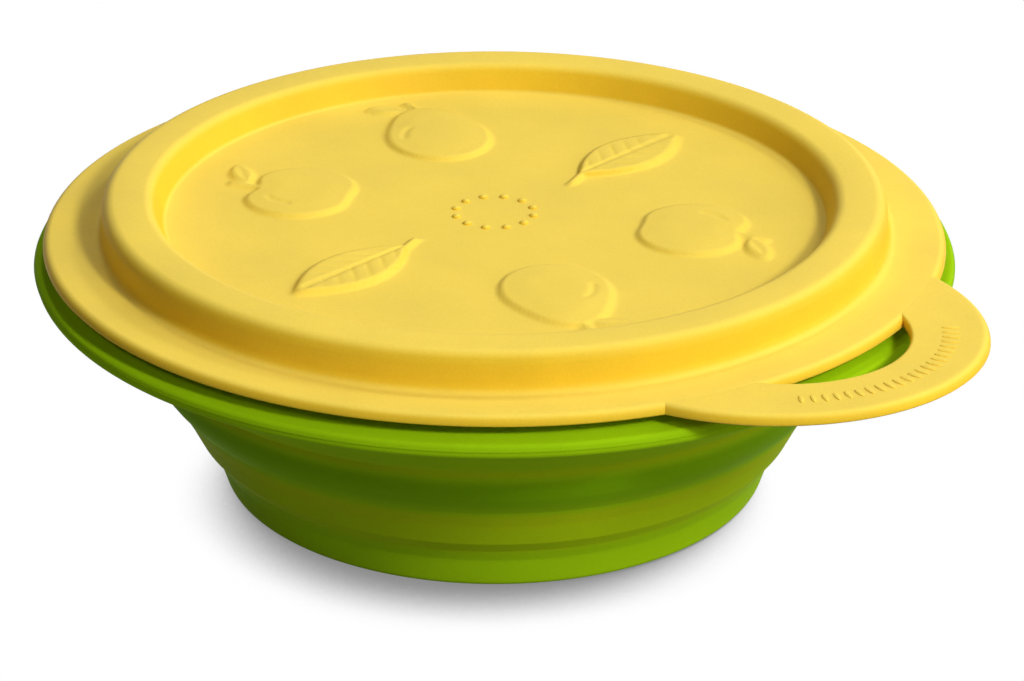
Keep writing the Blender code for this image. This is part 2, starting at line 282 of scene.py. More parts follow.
def add_node(tree, kind, settings=None, links=None):
    """Adds a node. Settings name its inputs or its own options, and links feed its inputs."""
    node = tree.nodes.new(kind)
    options = {name: value for name, value in (settings or {}).items() if hasattr(node, str(name))}
    for name, value in options.items():
        setattr(node, name, value)
    for name, value in (settings or {}).items():
        if name not in options:
            node.inputs[name].default_value = value
    for name, source in (links or {}).items():
        tree.links.new(source, node.inputs[name])
    return node


def moulded_silicone(name, tones, roughness, specular, where):
    """Moulded silicone: dyed through, matte from the mould's fine grit, with a dull highlight.

    Its colour clouds a little over a few centimetres and runs through the tones as the named attribute
    goes from 0 to 1. On the bowl it runs from deep green to olive with the wall's thinness, and it also
    holds painted shade on the zone between the folds and painted light on the band below them. On the lid
    it runs from yellow to pale as painted light: pale where the faces look up, as if lit.
    """
    material = bpy.data.materials.new(name)
    material.use_nodes = True
    tree = material.node_tree
    tree.nodes.clear()
    place = add_node(tree, "ShaderNodeTexCoord").outputs["Object"]
    cloud_size, cloud_change, matte_change = 22 * MM, 0.05, 0.05
    cloud = add_node(
        tree,
        "ShaderNodeTexNoise",
        {"Scale": 1 / cloud_size, "Detail": 3.0, "Roughness": 0.55},
        {"Vector": place},
    )
    # Real mould grit is near 0.1 mm: it is drawn coarser here so that it shows
    grit_size, grit_change, grit_depth = 0.45 * MM, 0.025, 0.03 * MM
    grit = add_node(
        tree,
        "ShaderNodeTexNoise",
        {"Scale": 1 / grit_size, "Detail": 2.0, "Roughness": 0.6},
        {"Vector": place},
    )
    shade = add_node(
        tree,
        "ShaderNodeMapRange",
        {"From Min": 0.3, "From Max": 0.7, "To Min": 1 - cloud_change, "To Max": 1 + cloud_change},
        {"Value": cloud.outputs["Fac"]},
    )
    speck = add_node(
        tree,
        "ShaderNodeMapRange",
        {"From Min": 0.3, "From Max": 0.7, "To Min": 1 - grit_change, "To Max": 1 + grit_change},
        {"Value": grit.outputs["Fac"]},
    )
    value = add_node(
        tree,
        "ShaderNodeMath",
        {"operation": "MULTIPLY"},
        {0: shade.outputs["Result"], 1: speck.outputs["Result"]},
    )
    share = add_node(tree, "ShaderNodeAttribute", {"attribute_name": where})
    dye = add_node(tree, "ShaderNodeValToRGB", {}, {"Fac": share.outputs["Fac"]})
    stops = dye.color_ramp.elements
    while len(stops) < len(tones):
        stops.new(0.5)
    for number, tone in enumerate(tones):
        stops[number].position = number / (len(tones) - 1)
        stops[number].color = to_linear(tone)
    clouded = add_node(
        tree, "ShaderNodeHueSaturation", {}, {"Color": dye.outputs["Color"], "Value": value.outputs[0]}
    )
    matte = add_node(
        tree,
        "ShaderNodeMapRange",
        {
            "From Min": 0.25,
            "From Max": 0.75,
            "To Min": roughness - matte_change,
            "To Max": roughness + matte_change,
        },
        {"Value": cloud.outputs["Fac"]},
    )
    grain = add_node(
        tree,
        "ShaderNodeBump",
        {"Strength": 0.25, "Distance": grit_depth},
        {"Height": grit.outputs["Fac"]},
    )
    skin = add_node(
        tree,
        "ShaderNodeBsdfPrincipled",
        {"IOR": 1.41, "Specular IOR Level": specular, "Metallic": 0.0},
        {
            "Base Color": clouded.outputs["Color"],
            "Roughness": matte.outputs["Result"],
            "Normal": grain.outputs["Normal"],
        },
    )
    add_node(tree, "ShaderNodeOutputMaterial", {}, {"Surface": skin.outputs["BSDF"]})
    return material


def bowed(start, end, bow):
    """A corner between two outline points that pushes the line between them out by the bow."""
    along = Vector(end) - Vector(start)
    outward = Vector((along.y, -along.x)).normalized()
    middle = (Vector(start) + Vector(end)) / 2 + outward * bow * 2
    # So large a fillet turns the whole line into one arc
    fillet = 40 * MM
    return (middle.x, middle.y, fillet)


def traced(corners, longest, longest_at_ends):
    """Points along an open outline of (radius, height, fillet) corners, none further apart than given."""
    turn = math.radians(10)
    # A fillet may take almost half of a side that ends in another fillet, or almost all of a free one
    shared, free = 0.48, 0.96
    points = []
    for index, (radius, height, fillet) in enumerate(corners):
        here = Vector((radius, height))
        if fillet == 0:
            points.append(here)
            continue
        to_last = Vector(corners[index - 1][:2]) - here
        to_next = Vector(corners[index + 1][:2]) - here
        half_angle = to_last.angle(to_next) / 2
        last_share = shared if corners[index - 1][2] else free
        next_share = shared if corners[index + 1][2] else free
        longest_cut = min(last_share * to_last.length, next_share * to_next.length)
        cut = min(fillet / math.tan(half_angle), longest_cut)
        inward = (to_last.normalized() + to_next.normalized()).normalized()
        centre = here + inward * (cut / math.cos(half_angle))
        first = here + to_last.normalized() * cut - centre
        final = here + to_next.normalized() * cut - centre
        steps = max(3, math.ceil(first.angle(final) / turn))
        for step in range(steps + 1):
            points.append(centre + first.slerp(final, step / steps).normalized() * first.length)
    fine = [points[0]]
    limits = [longest_at_ends, *[longest] * (len(points) - 3), longest_at_ends]
    for start, end, limit in zip(points, points[1:], limits):
        pieces = math.ceil((end - start).length / limit)
        fine += [start.lerp(end, piece / pieces) for piece in range(1, pieces + 1)]
    return np.array(fine)


def new_piece(name, verts, faces, material):
    """A smooth-shaded piece at the origin."""
    mesh = bpy.data.meshes.new(name)
    mesh.from_pydata(verts, [], faces)
    mesh.validate()
    mesh.materials.append(material)
    mesh.shade_smooth()
    piece = bpy.data.objects.new(name, mesh)
    bpy.context.scene.collection.objects.link(piece)
    return piece


def spun(name, outline, steps, material):
    """A closed skin: an outline from its lower pole, round the outside, to its upper pole, spun round Z."""
    turns = np.arange(steps) * (math.tau / steps)
    radii, heights = outline[1:-1, 0], outline[1:-1, 1]
    rings = len(radii)
    across = np.outer(radii, np.cos(turns)), np.outer(radii, np.sin(turns))
    verts = np.stack([*across, np.repeat(heights[:, None], steps, axis=1)], axis=-1).reshape(-1, 3)
    poles = [(0.0, 0.0, outline[0, 1]), (0.0, 0.0, outline[-1, 1])]
    verts = np.concatenate([verts, poles])
    here = np.arange(steps)
    after = (here + 1) % steps
    ring = (np.arange(rings - 1) * steps)[:, None]
    quads = np.stack([ring + here, ring + after, ring + steps + after, ring + steps + here], axis=-1)
    faces = quads.reshape(-1, 4).tolist()
    top = (rings - 1) * steps
    lower_pole, upper_pole = rings * steps, rings * steps + 1
    faces += [(lower_pole, int(b), int(a)) for a, b in zip(here, after)]
    faces += [(upper_pole, int(top + a), int(top + b)) for a, b in zip(here, after)]
    return new_piece(name, verts.tolist(), faces, material)


def tilt_flange(piece):
    """Tilts the soft flange and tab, which stand clear of the rim on one side."""
    places = np.empty(3 * len(piece.data.vertices))
    piece.data.vertices.foreach_get("co", places)
    places = places.reshape(-1, 3)
    radii = np.hypot(places[:, 0], places[:, 1])
    turns = np.arctan2(places[:, 1], places[:, 0])
    outside = np.clip(radii - FLANGE_FOOT, 0.0, None)
    places[:, 2] += FLANGE_TILT * np.cos(turns - TILT_SIDE) * outside
    piece.data.vertices.foreach_set("co", places.ravel())
    piece.data.update()


def mark_painted_light(piece):
    """Stores the share of painted light at each point: a quarter everywhere, and full where the lid faces
    up, drawn paler as if lit.
    """
    least, half_way, spread = 0.25, 0.75, 0.5
    normals = np.empty(3 * len(piece.data.vertices))
    piece.data.vertex_normals.foreach_get("vector", normals)
    share = least + (1 - least) * soft_edge(normals[2::3] - half_way, spread)
    attribute = piece.data.attributes.new("painted_light", "FLOAT", "POINT")
    attribute.data.foreach_set("value", share.astype(np.float32))


def soft_edge(inside, width):
    """0 outside a shape and 1 inside it, with a smooth ramp of this width across its edge."""
    share = np.clip(inside / width + 0.5, 0.0, 1.0)
    return share * share * (3 - 2 * share)


def bar_height(x, y, start, end, half_width):
    """A rounded bar between two points."""
    slope = 0.8 * MM
    along = Vector(end) - Vector(start)
    share = ((x - start[0]) * along.x + (y - start[1]) * along.y) / along.length_squared
    share = np.clip(share, 0.0, 1.0)
    off = np.hypot(x - start[0] - share * along.x, y - start[1] - share * along.y)
    return soft_edge(half_width - off, slope)


def leaf_height(x, y, centre, turn, half_length, half_width):
    """A pointed leaf with a groove along its middle. Its length runs along Y before it is turned."""
    slope = 0.9 * MM
    half_vein, vein_slope, vein_depth = 0.16 * MM, 0.7 * MM, 0.45
    cos, sin = math.cos(turn), math.sin(turn)
    across = (x - centre[0]) * cos + (y - centre[1]) * sin
    along = (y - centre[1]) * cos - (x - centre[0]) * sin
    inside = half_width * (1 - (along / half_length) ** 2) - np.abs(across)
    vein = soft_edge(half_vein - np.abs(across), vein_slope)
    return soft_edge(inside, slope) * (1 - vein_depth * vein)


def fruit_height(x, y, radius, top, bottom, stretch):
    """A round fruit whose top and bottom swell or dent, each by (amount, width in radians).

    Its middle is domed, and a short curved groove stands for a highlight.
    """
    slope, dome_slope, shoulder = 1.0 * MM, 5.2 * MM, 0.72
    groove_radius, half_groove, groove_slope, groove_depth = 0.62 * radius, 0.35 * MM, 0.8 * MM, 0.3
    # Where the groove's middle lies, how far it reaches to each side and how it fades, in radians
    groove_turn, groove_reach, groove_fade = 2.75, 0.5, 0.25
    angle = np.arctan2(y, x / stretch)
    reach = radius * np.ones_like(angle)
    for (amount, width), middle in ((top, math.pi / 2), (bottom, -math.pi / 2)):
        away = (angle - middle + math.pi) % math.tau - math.pi
        reach += radius * amount * np.exp(-((away / width) ** 2))
    inside = reach - np.hypot(x / stretch, y)
    dome = shoulder + (1 - shoulder) * soft_edge(inside - dome_slope / 2, dome_slope)
    off_groove = np.abs(np.hypot(x, y) - groove_radius)
    groove = soft_edge(half_groove - off_groove, groove_slope)
    groove *= soft_edge(groove_reach - np.abs(angle - groove_turn), groove_fade)
    return soft_edge(inside, slope) * (dome - groove_depth * groove)


def apple(x, y, lid):
    """An apple with its stalk and one leaf."""
    body = fruit_height(x, y, lid.fruit_radius, top=(-0.26, 0.38), bottom=(-0.10, 0.35), stretch=1.08)
    stalk = SIDE_RELIEF * bar_height(x, y, (0.2 * MM, 6.4 * MM), (1.3 * MM, 12.0 * MM), 0.6 * MM)
    leaf = SIDE_RELIEF * leaf_height(x, y, (5.2 * MM, 11.4 * MM), -1.05, 4.2 * MM, 1.9 * MM)
    return np.maximum.reduce([body, stalk, leaf])


def pear(x, y, lid):
    """A pear with its stalk and one leaf."""
    body = fruit_height(x, y, lid.fruit_radius, top=(0.42, 0.62), bottom=(0.04, 0.90), stretch=0.92)
    stalk = SIDE_RELIEF * bar_height(x, y, (0.0, 12.4 * MM), (-1.0 * MM, 16.4 * MM), 0.6 * MM)
    leaf = SIDE_RELIEF * leaf_height(x, y, (-5.0 * MM, 14.4 * MM), 1.15, 4.0 * MM, 1.8 * MM)
    return np.maximum.reduce([body, stalk, leaf])


def leaf_spray(x, y, lid):
    """One large leaf with side veins and a stalk."""
    blade = leaf_height(x, y, (0.0, 0.0), 0.0, lid.leaf_length, lid.leaf_width)
    vein_rise, spacing, margin, margin_slope = 0.75, 3.2 * MM, 0.9 * MM, 1.0 * MM
    half_vein, vein_slope, vein_depth = 0.12 * MM, 0.6 * MM, 0.35
    rise = y - vein_rise * np.abs(x)
    off_vein = np.abs((rise + spacing / 2) % spacing - spacing / 2)
    inside = lid.leaf_width * (1 - (y / lid.leaf_length) ** 2) - np.abs(x)
    veins = soft_edge(half_vein - off_vein, vein_slope) * soft_edge(inside - margin, margin_slope)
    stalk = SIDE_RELIEF * bar_height(x, y, (0.0, -12.0 * MM), (1.2 * MM, -15.6 * MM), 0.6 * MM)
    return np.maximum(blade * (1 - vein_depth * veins), stalk)


def motif_relief(x, y, lid):
    """Height of the raised motifs: apple, leaf and pear in turn, each with its top to the outside."""
    height = np.zeros_like(x)
    kinds = (apple, leaf_spray, pear)
    count = 2 * len(kinds)
    half_length, half_width = 20 * MM, 15 * MM
    for index in range(count):
        turn = math.tau * (index + 0.5) / count
        out = x * math.cos(turn) + y * math.sin(turn) - lid.motif_ring
        across = x * math.sin(turn) - y * math.cos(turn)
        near = (np.abs(out) < half_length) & (np.abs(across) < half_width)
        motif = kinds[index % len(kinds)]
        height[near] = np.maximum(height[near], motif(across[near], out[near], lid))
    return lid.relief * height


def marks_tree():
    """Geometry Nodes: small rounded marks spaced along an arc, each turned to the arc's centre."""
    tree = bpy.data.node_groups.new("Raised marks", "GeometryNodeTree")
    sizes = (
        ("Count", "NodeSocketInt"),
        ("Arc Radius", "NodeSocketFloat"),
        ("Start", "NodeSocketFloat"),
        ("Sweep", "NodeSocketFloat"),
        ("Centre", "NodeSocketVector"),
        ("Mark Size", "NodeSocketVector"),
        ("Material", "NodeSocketMaterial"),
    )
    for name, kind in sizes:
        tree.interface.new_socket(name, in_out="INPUT", socket_type=kind)
    tree.interface.new_socket("Geometry", in_out="OUTPUT", socket_type="NodeSocketGeometry")
    given = add_node(tree, "NodeGroupInput").outputs
    arc = add_node(
        tree,
        "GeometryNodeCurveArc",
        {"mode": "RADIUS"},
        {
            "Resolution": given["Count"],
            "Radius": given["Arc Radius"],
            "Start Angle": given["Start"],
            "Sweep Angle": given["Sweep"],
        },
    )
    points = add_node(
        tree, "GeometryNodeCurveToPoints", {"mode": "EVALUATED"}, {"Curve": arc.outputs["Curve"]}
    )
    position = add_node(tree, "GeometryNodeInputPosition")
    facing = add_node(
        tree,
        "FunctionNodeAlignRotationToVector",
        {"axis": "Y", "pivot_axis": "Z"},
        {"Vector": position.outputs["Position"]},
    )
    bead = add_node(tree, "GeometryNodeMeshUVSphere", {"Segments": 16, "Rings": 9, "Radius": 1.0})
    shaped = add_node(
        tree, "GeometryNodeTransform", {}, {"Geometry": bead.outputs["Mesh"], "Scale": given["Mark Size"]}
    )
    placed = add_node(
        tree,
        "GeometryNodeInstanceOnPoints",
        {},
        {
            "Points": points.outputs["Points"],
            "Instance": shaped.outputs["Geometry"],
            "Rotation": facing.outputs["Rotation"],
        },
    )
    real = add_node(tree, "GeometryNodeRealizeInstances", {}, {"Geometry": placed.outputs["Instances"]})
    moved = add_node(
        tree,
        "GeometryNodeTransform",
        {},
        {"Geometry": real.outputs["Geometry"], "Translation": given["Centre"]},
    )
    smooth = add_node(tree, "GeometryNodeSetShadeSmooth", {}, {"Geometry": moved.outputs["Geometry"]})
    dyed = add_node(
        tree,
        "GeometryNodeSetMaterial",
        {},
        {"Geometry": smooth.outputs["Geometry"], "Material": given["Material"]},
    )
    add_node(tree, "NodeGroupOutput", {}, {"Geometry": dyed.outputs["Geometry"]})
    return tree


def marks(name, sizes):
    """A plain mesh of raised marks made by the tree above."""
    piece = bpy.data.objects.new(name, bpy.data.meshes.new(name))
    bpy.context.scene.collection.objects.link(piece)
    tree = bpy.data.node_groups.get("Raised marks") or marks_tree()
    modifier = piece.modifiers.new("Marks", "NODES")
    modifier.node_group = tree
    for item in tree.interface.items_tree:
        if item.in_out == "INPUT":
            modifier[item.identifier] = sizes[item.name]
    made = piece.evaluated_get(bpy.context.evaluated_depsgraph_get())
    mesh = bpy.data.meshes.new_from_object(made)
    piece.modifiers.clear()
    piece.data = mesh
    mesh.name = name
    return piece


def crossing(radius, centre, other):
    """Angle, seen from a centre on the X axis, where a circle of radius other meets one round the axis."""
    x = (radius**2 - other**2 + centre**2) / (2 * centre)
    return math.acos((x - centre) / other)


class CONTAINER_OT_bowl(bpy.types.Operator):
    """Make the bowl's one-piece skin, with its fold lines between its base and its rim"""

    bl_idname = "container.bowl"
    bl_label = "Folding bowl"

    def execute(self, context):
        bowl = context.scene.container_bowl
        bottom, top = RIM_LOW.z, RIM_HIGH.z
        neck = (bowl.mouth_radius + bowl.wall, bottom)
        line, half_line = bottom + 1.65 * MM, 0.2 * MM
        floor = FLOOR_HIGH.z
        edge, draft = bowl.rim_radius - bowl.line_height, 0.02 * MM
        upper_bow = 0.25 * MM
        outside = [
            (0.0, 0.0, 0),
            (*FOOT, 1.4 * MM),
            (*STEP, 4.0 * MM),
            (*CREASE_FOOT, 2.0 * MM),
            (*CREASE, 0.5 * MM),
            (*BAND_FOOT, 4.0 * MM),
            (*LOWER_FOLD, 0.5 * MM),
            bowed(LOWER_FOLD, UPPER_FOLD, bowl.fold_bow),
            (*UPPER_FOLD, 0.25 * MM),
            bowed(UPPER_FOLD, neck, upper_bow),
            (*neck, 0.8 * MM),
            (edge, bottom, 1.2 * bowl.rim_round),
            (edge, line - half_line, 0),
            (bowl.rim_radius, line, 0),
            (edge, line + half_line, 0),
            (edge - draft, top - bowl.rim_fall, bowl.rim_round),
        ]
        thin = bowl.fold_wall
        inside = [
            (bowl.mouth_radius, top, 0.8 * MM),
            (bowl.mouth_radius - 0.1 * MM, bottom, 3.0 * MM),
            (UPPER_FOLD[0] - thin, UPPER_FOLD[1] + 0.5 * MM, 0.6 * MM),
            (LOWER_FOLD[0] - thin, LOWER_FOLD[1] + 0.5 * MM, 0.6 * MM),
            (BAND_FOOT[0] - bowl.wall, BAND_FOOT[1] + 0.3 * MM, 1.0 * MM),
            (CREASE[0] - bowl.wall, CREASE[1], 1.0 * MM),
            (STEP[0] - bowl.wall, STEP[1], 1.5 * MM),
            (FOOT[0] - 0.6 * MM, floor, 3.0 * MM),
            (0.0, floor, 0),
        ]
        outline = traced(outside + inside, longest=0.7 * MM, longest_at_ends=5 * MM)
        # The tones follow the wall's thinness, with painted shade and painted light on the outer wall
        tones = (bowl.deep_and_shaded_green, bowl.green, bowl.fold_olive_and_lit_band)
        material = moulded_silicone(
            "Moulded green silicone", tones, roughness=0.6, specular=0.015, where="thinness_and_shading"
        )
        piece = spun("bowl_skin", outline, BOWL_STEPS, material)
        self.mark_thinness_and_shading(piece, outline)
        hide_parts("bowl_floor", "lower_wall", "middle_wall", "upper_wall", "rim_ring")
        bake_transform(piece)
        return {"FINISHED"}

    def mark_thinness_and_shading(self, piece, outline):
        """Stores a tone share from 0 to 1: the wall's thinness, with painted shade and painted light. The
        plain wall is half way.
        """
        plain, lit_band_share, zone_shade_share, rim_share = 0.5, 0.7, 0.9, 0.35
        radii, heights = outline[1:-1, 0], outline[1:-1, 1]
        outer = np.arange(len(radii)) < np.argmax(radii)
        upper, lower, crease = UPPER_FOLD[1], LOWER_FOLD[1], CREASE[1]
        # Painted light makes the band below the lower fold paler, painted shade darkens the zone between
        # the folds under the rim, and the thick rim is deeper green
        lit_band = (crease - MM, crease, lower - 1.4 * MM, lower)
        zone = (lower - 0.6 * MM, lower + 2.4 * MM, upper - 3 * MM, upper - MM)
        thin = np.interp(heights, lit_band, (0, lit_band_share, lit_band_share, 0))
        zone_shade = np.interp(heights, zone, (0, zone_shade_share, zone_shade_share, 0))
        thick_rim = rim_share * (heights > RIM_LOW.z - 0.1 * MM)
        # Height, half width and strength of the thin lines at the two folds and the crease
        lines = (
            (upper - 0.5 * MM, 1.1 * MM, 0.9),
            (lower - 2.4 * MM, 1.3 * MM, 0.5),
            (crease - 1.6 * MM, 0.9 * MM, 0.7),
        )
        for height, spread, amount in lines:
            thin += amount * np.exp(-(((heights - height) / spread) ** 2))
        thinness_and_shading = plain + 0.5 * ((thin - zone_shade) * outer - thick_rim)
        values = np.concatenate([np.repeat(thinness_and_shading, BOWL_STEPS), (plain, plain)])
        attribute = piece.data.attributes.new("thinness_and_shading", "FLOAT", "POINT")
        attribute.data.foreach_set("value", values.astype(np.float32))


class CONTAINER_OT_lid(bpy.types.Operator):
    """Make the lid's skin: plug, flange, ridge and sunk panel with raised motifs"""

    bl_idname = "container.lid"
    bl_label = "Lid"

    def execute(self, context):
        lid = context.scene.container_lid
        # Yellow, running to pale yellow as painted light on the faces that look up
        tones = (lid.yellow, lid.lit_pale_yellow)
        material = moulded_silicone(
            "Moulded yellow silicone", tones, roughness=0.5, specular=0.1, where="painted_light"
        )
        outline, panel_top = self.outline(lid)
        piece = spun("lid_skin", outline, LID_STEPS, material)
        places = np.empty(3 * len(piece.data.vertices))
        piece.data.vertices.foreach_get("co", places)
        places = places.reshape(-1, 3)
        on_panel = np.abs(places[:, 2] - panel_top) < 0.001 * MM
        places[on_panel, 2] += motif_relief(places[on_panel, 0], places[on_panel, 1], lid)
        piece.data.vertices.foreach_set("co", places.ravel())
        tilt_flange(piece)
        mark_painted_light(piece)
        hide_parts("lid_plug", "lid_flange", "lid_ridge", "lid_panel")
        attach(piece, "lid")
        return {"FINISHED"}

    def outline(self, lid):
        """The lid's section from the middle of its underside round to the middle of its panel."""
        low, high, crest = FLANGE_LOW.z, FLANGE_HIGH.z, RIDGE_HIGH.z
        under = PANEL_LOW.z
        panel_top = under + lid.sheet
        crest_radius = lid.ridge_radius - lid.ridge_width
        plug_inner = lid.ridge_radius - lid.sheet
        edge = lid.flange_radius
        chamfer, draft = 0.2 * MM, 0.3 * MM
        corners = [
            (0.0, under, 0),
            (lid.panel_radius + 1.6 * MM, under, 1.0 * MM),
            (crest_radius + 1.4 * MM, crest - lid.sheet, 1.0 * MM),
            (plug_inner - draft, crest - lid.sheet, 1.0 * MM),
            (plug_inner, PLUG_LOW.z, 0.6 * MM),
            (lid.ridge_radius, PLUG_LOW.z, 0.6 * MM),
            (lid.ridge_radius, low, 0.4 * MM),
            (edge - chamfer, low, 0),
            (edge, low + chamfer, 0),
            (edge, high, 1.4 * MM),
            (lid.ridge_radius, high, 1.6 * MM),
            (lid.ridge_radius - draft, crest, 2.2 * MM),
            (crest_radius, crest, 2.2 * MM),
            (lid.panel_radius, panel_top, 0.9 * MM),
            (lid.panel_radius - 2 * MM, panel_top, 0),
        ]
        wall = traced(corners, longest=2.5 * MM, longest_at_ends=5 * MM)
        # The panel's rings are close where the motifs stand and wider apart inside them
        close, wide, motifs_end = 0.42 * MM, 1.0 * MM, 17 * MM
        fine = np.arange(wall[-1, 0] - close, motifs_end, -close)
        coarse = np.arange(fine[-1] - wide, wide / 2, -wide)
        radii = np.concatenate([fine, coarse, [0.0]])
        panel = np.stack([radii, np.full_like(radii, panel_top)], axis=-1)
        return np.concatenate([wall, panel]), panel_top


class CONTAINER_OT_dots(bpy.types.Operator):
    """Make the small ring of dots in the middle of the panel"""

    bl_idname = "container.dots"
    bl_label = "Panel dots"

    def execute(self, context):
        lid = context.scene.container_lid
        panel_top = PANEL_LOW.z + lid.sheet
        dot_radius, dot_height = 0.75 * MM, 0.45 * MM
        sizes = {
            "Count": lid.dot_count,
            "Arc Radius": lid.dot_ring,
            "Start": 0.0,
            "Sweep": math.tau * (lid.dot_count - 1) / lid.dot_count,
            "Centre": (0.0, 0.0, panel_top),
            "Mark Size": (dot_radius, dot_radius, dot_height),
            "Material": bpy.data.materials["Moulded yellow silicone"],
        }
        piece = marks("panel_dots", sizes)
        mark_painted_light(piece)
        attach(piece, "lid")
        return {"FINISHED"}


class CONTAINER_OT_tab(bpy.types.Operator):
    """Make the pull tab, which grows out of the flange"""

    bl_idname = "container.tab"
    bl_label = "Pull tab"

    def execute(self, context):
        tab = context.scene.container_tab
        material = bpy.data.materials["Moulded yellow silicone"]
        # The arms start inside the flange, a hair thinner than it
        depth, hair = 3.5 * MM, 0.02 * MM
        buried = context.scene.container_lid.flange_radius - depth
        outer_end = crossing(buried, tab.outer_centre, tab.outer_radius)
        slot_end = crossing(buried, tab.slot_centre, tab.slot_radius)
        shares = np.linspace(-1, 1, TAB_STEPS)
        outer = self.arc(tab.outer_centre, tab.outer_radius, shares * outer_end)
        inner = self.arc(tab.slot_centre, tab.slot_radius, shares * slot_end)
        low, high = FLANGE_LOW.z + hair, FLANGE_HIGH.z - hair
        # The section is drawn at this width and then stretched between the tab's two arcs
        width, chamfer = 12 * MM, 0.2 * MM
        corners = [
            (width / 2, low, 0),
            (width - chamfer, low, 0),
            (width, low + chamfer, 0),
            (width, high, 1.4 * MM),
            (0.0, high, 0.6 * MM),
            (0.0, low, 0),
            (width / 2, low, 0),
        ]
        loop = traced(corners, longest=0.7 * MM, longest_at_ends=0.7 * MM)[:-1]
        verts = []
        for near, far in zip(inner, outer):
            along = (far - near) / np.linalg.norm(far - near)
            for reach, height in loop:
                flat = near + along * reach if reach < width / 2 else far - along * (width - reach)
                verts.append((*flat, height))
        count = len(loop)
        faces = []
        for section in range(TAB_STEPS - 1):
            for index in range(count):
                following = (index + 1) % count
                here, there = section * count, (section + 1) * count
                faces.append((here + index, there + index, there + following, here + following))
        faces.append(tuple(range(count)))
        faces.append(tuple(reversed(range((TAB_STEPS - 1) * count, TAB_STEPS * count))))
        piece = new_piece("tab_skin", verts, faces, material)
        tilt_flange(piece)
        mark_painted_light(piece)
        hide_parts("pull_tab")
        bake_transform(piece)
        return {"FINISHED"}

    def arc(self, centre, radius, angles):
        """Points on a circle centred on the X axis."""
        return np.stack([centre + radius * np.cos(angles), radius * np.sin(angles)], axis=-1)


class CONTAINER_OT_ribs(bpy.types.Operator):
    """Make the row of small grip ribs along the pull tab"""

    bl_idname = "container.ribs"
    bl_label = "Grip ribs"

    def execute(self, context):
        tab = context.scene.container_tab
        reach = math.radians(43)
        row_radius, row_shift = 26.6 * MM, 1.35 * MM
        half_width, rib_height = 0.42 * MM, 0.17 * MM
        sizes = {
            "Count": tab.rib_count,
            "Arc Radius": row_radius,
            "Start": -reach,
            "Sweep": 2 * reach,
            "Centre": (tab.outer_centre + row_shift, 0.0, FLANGE_HIGH.z),
            "Mark Size": (half_width, tab.rib_length / 2, rib_height),
            "Material": bpy.data.materials["Moulded yellow silicone"],
        }
        piece = marks("tab_ribs", sizes)
        tilt_flange(piece)
        mark_painted_light(piece)
        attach(piece, "tab")
        return {"FINISHED"}


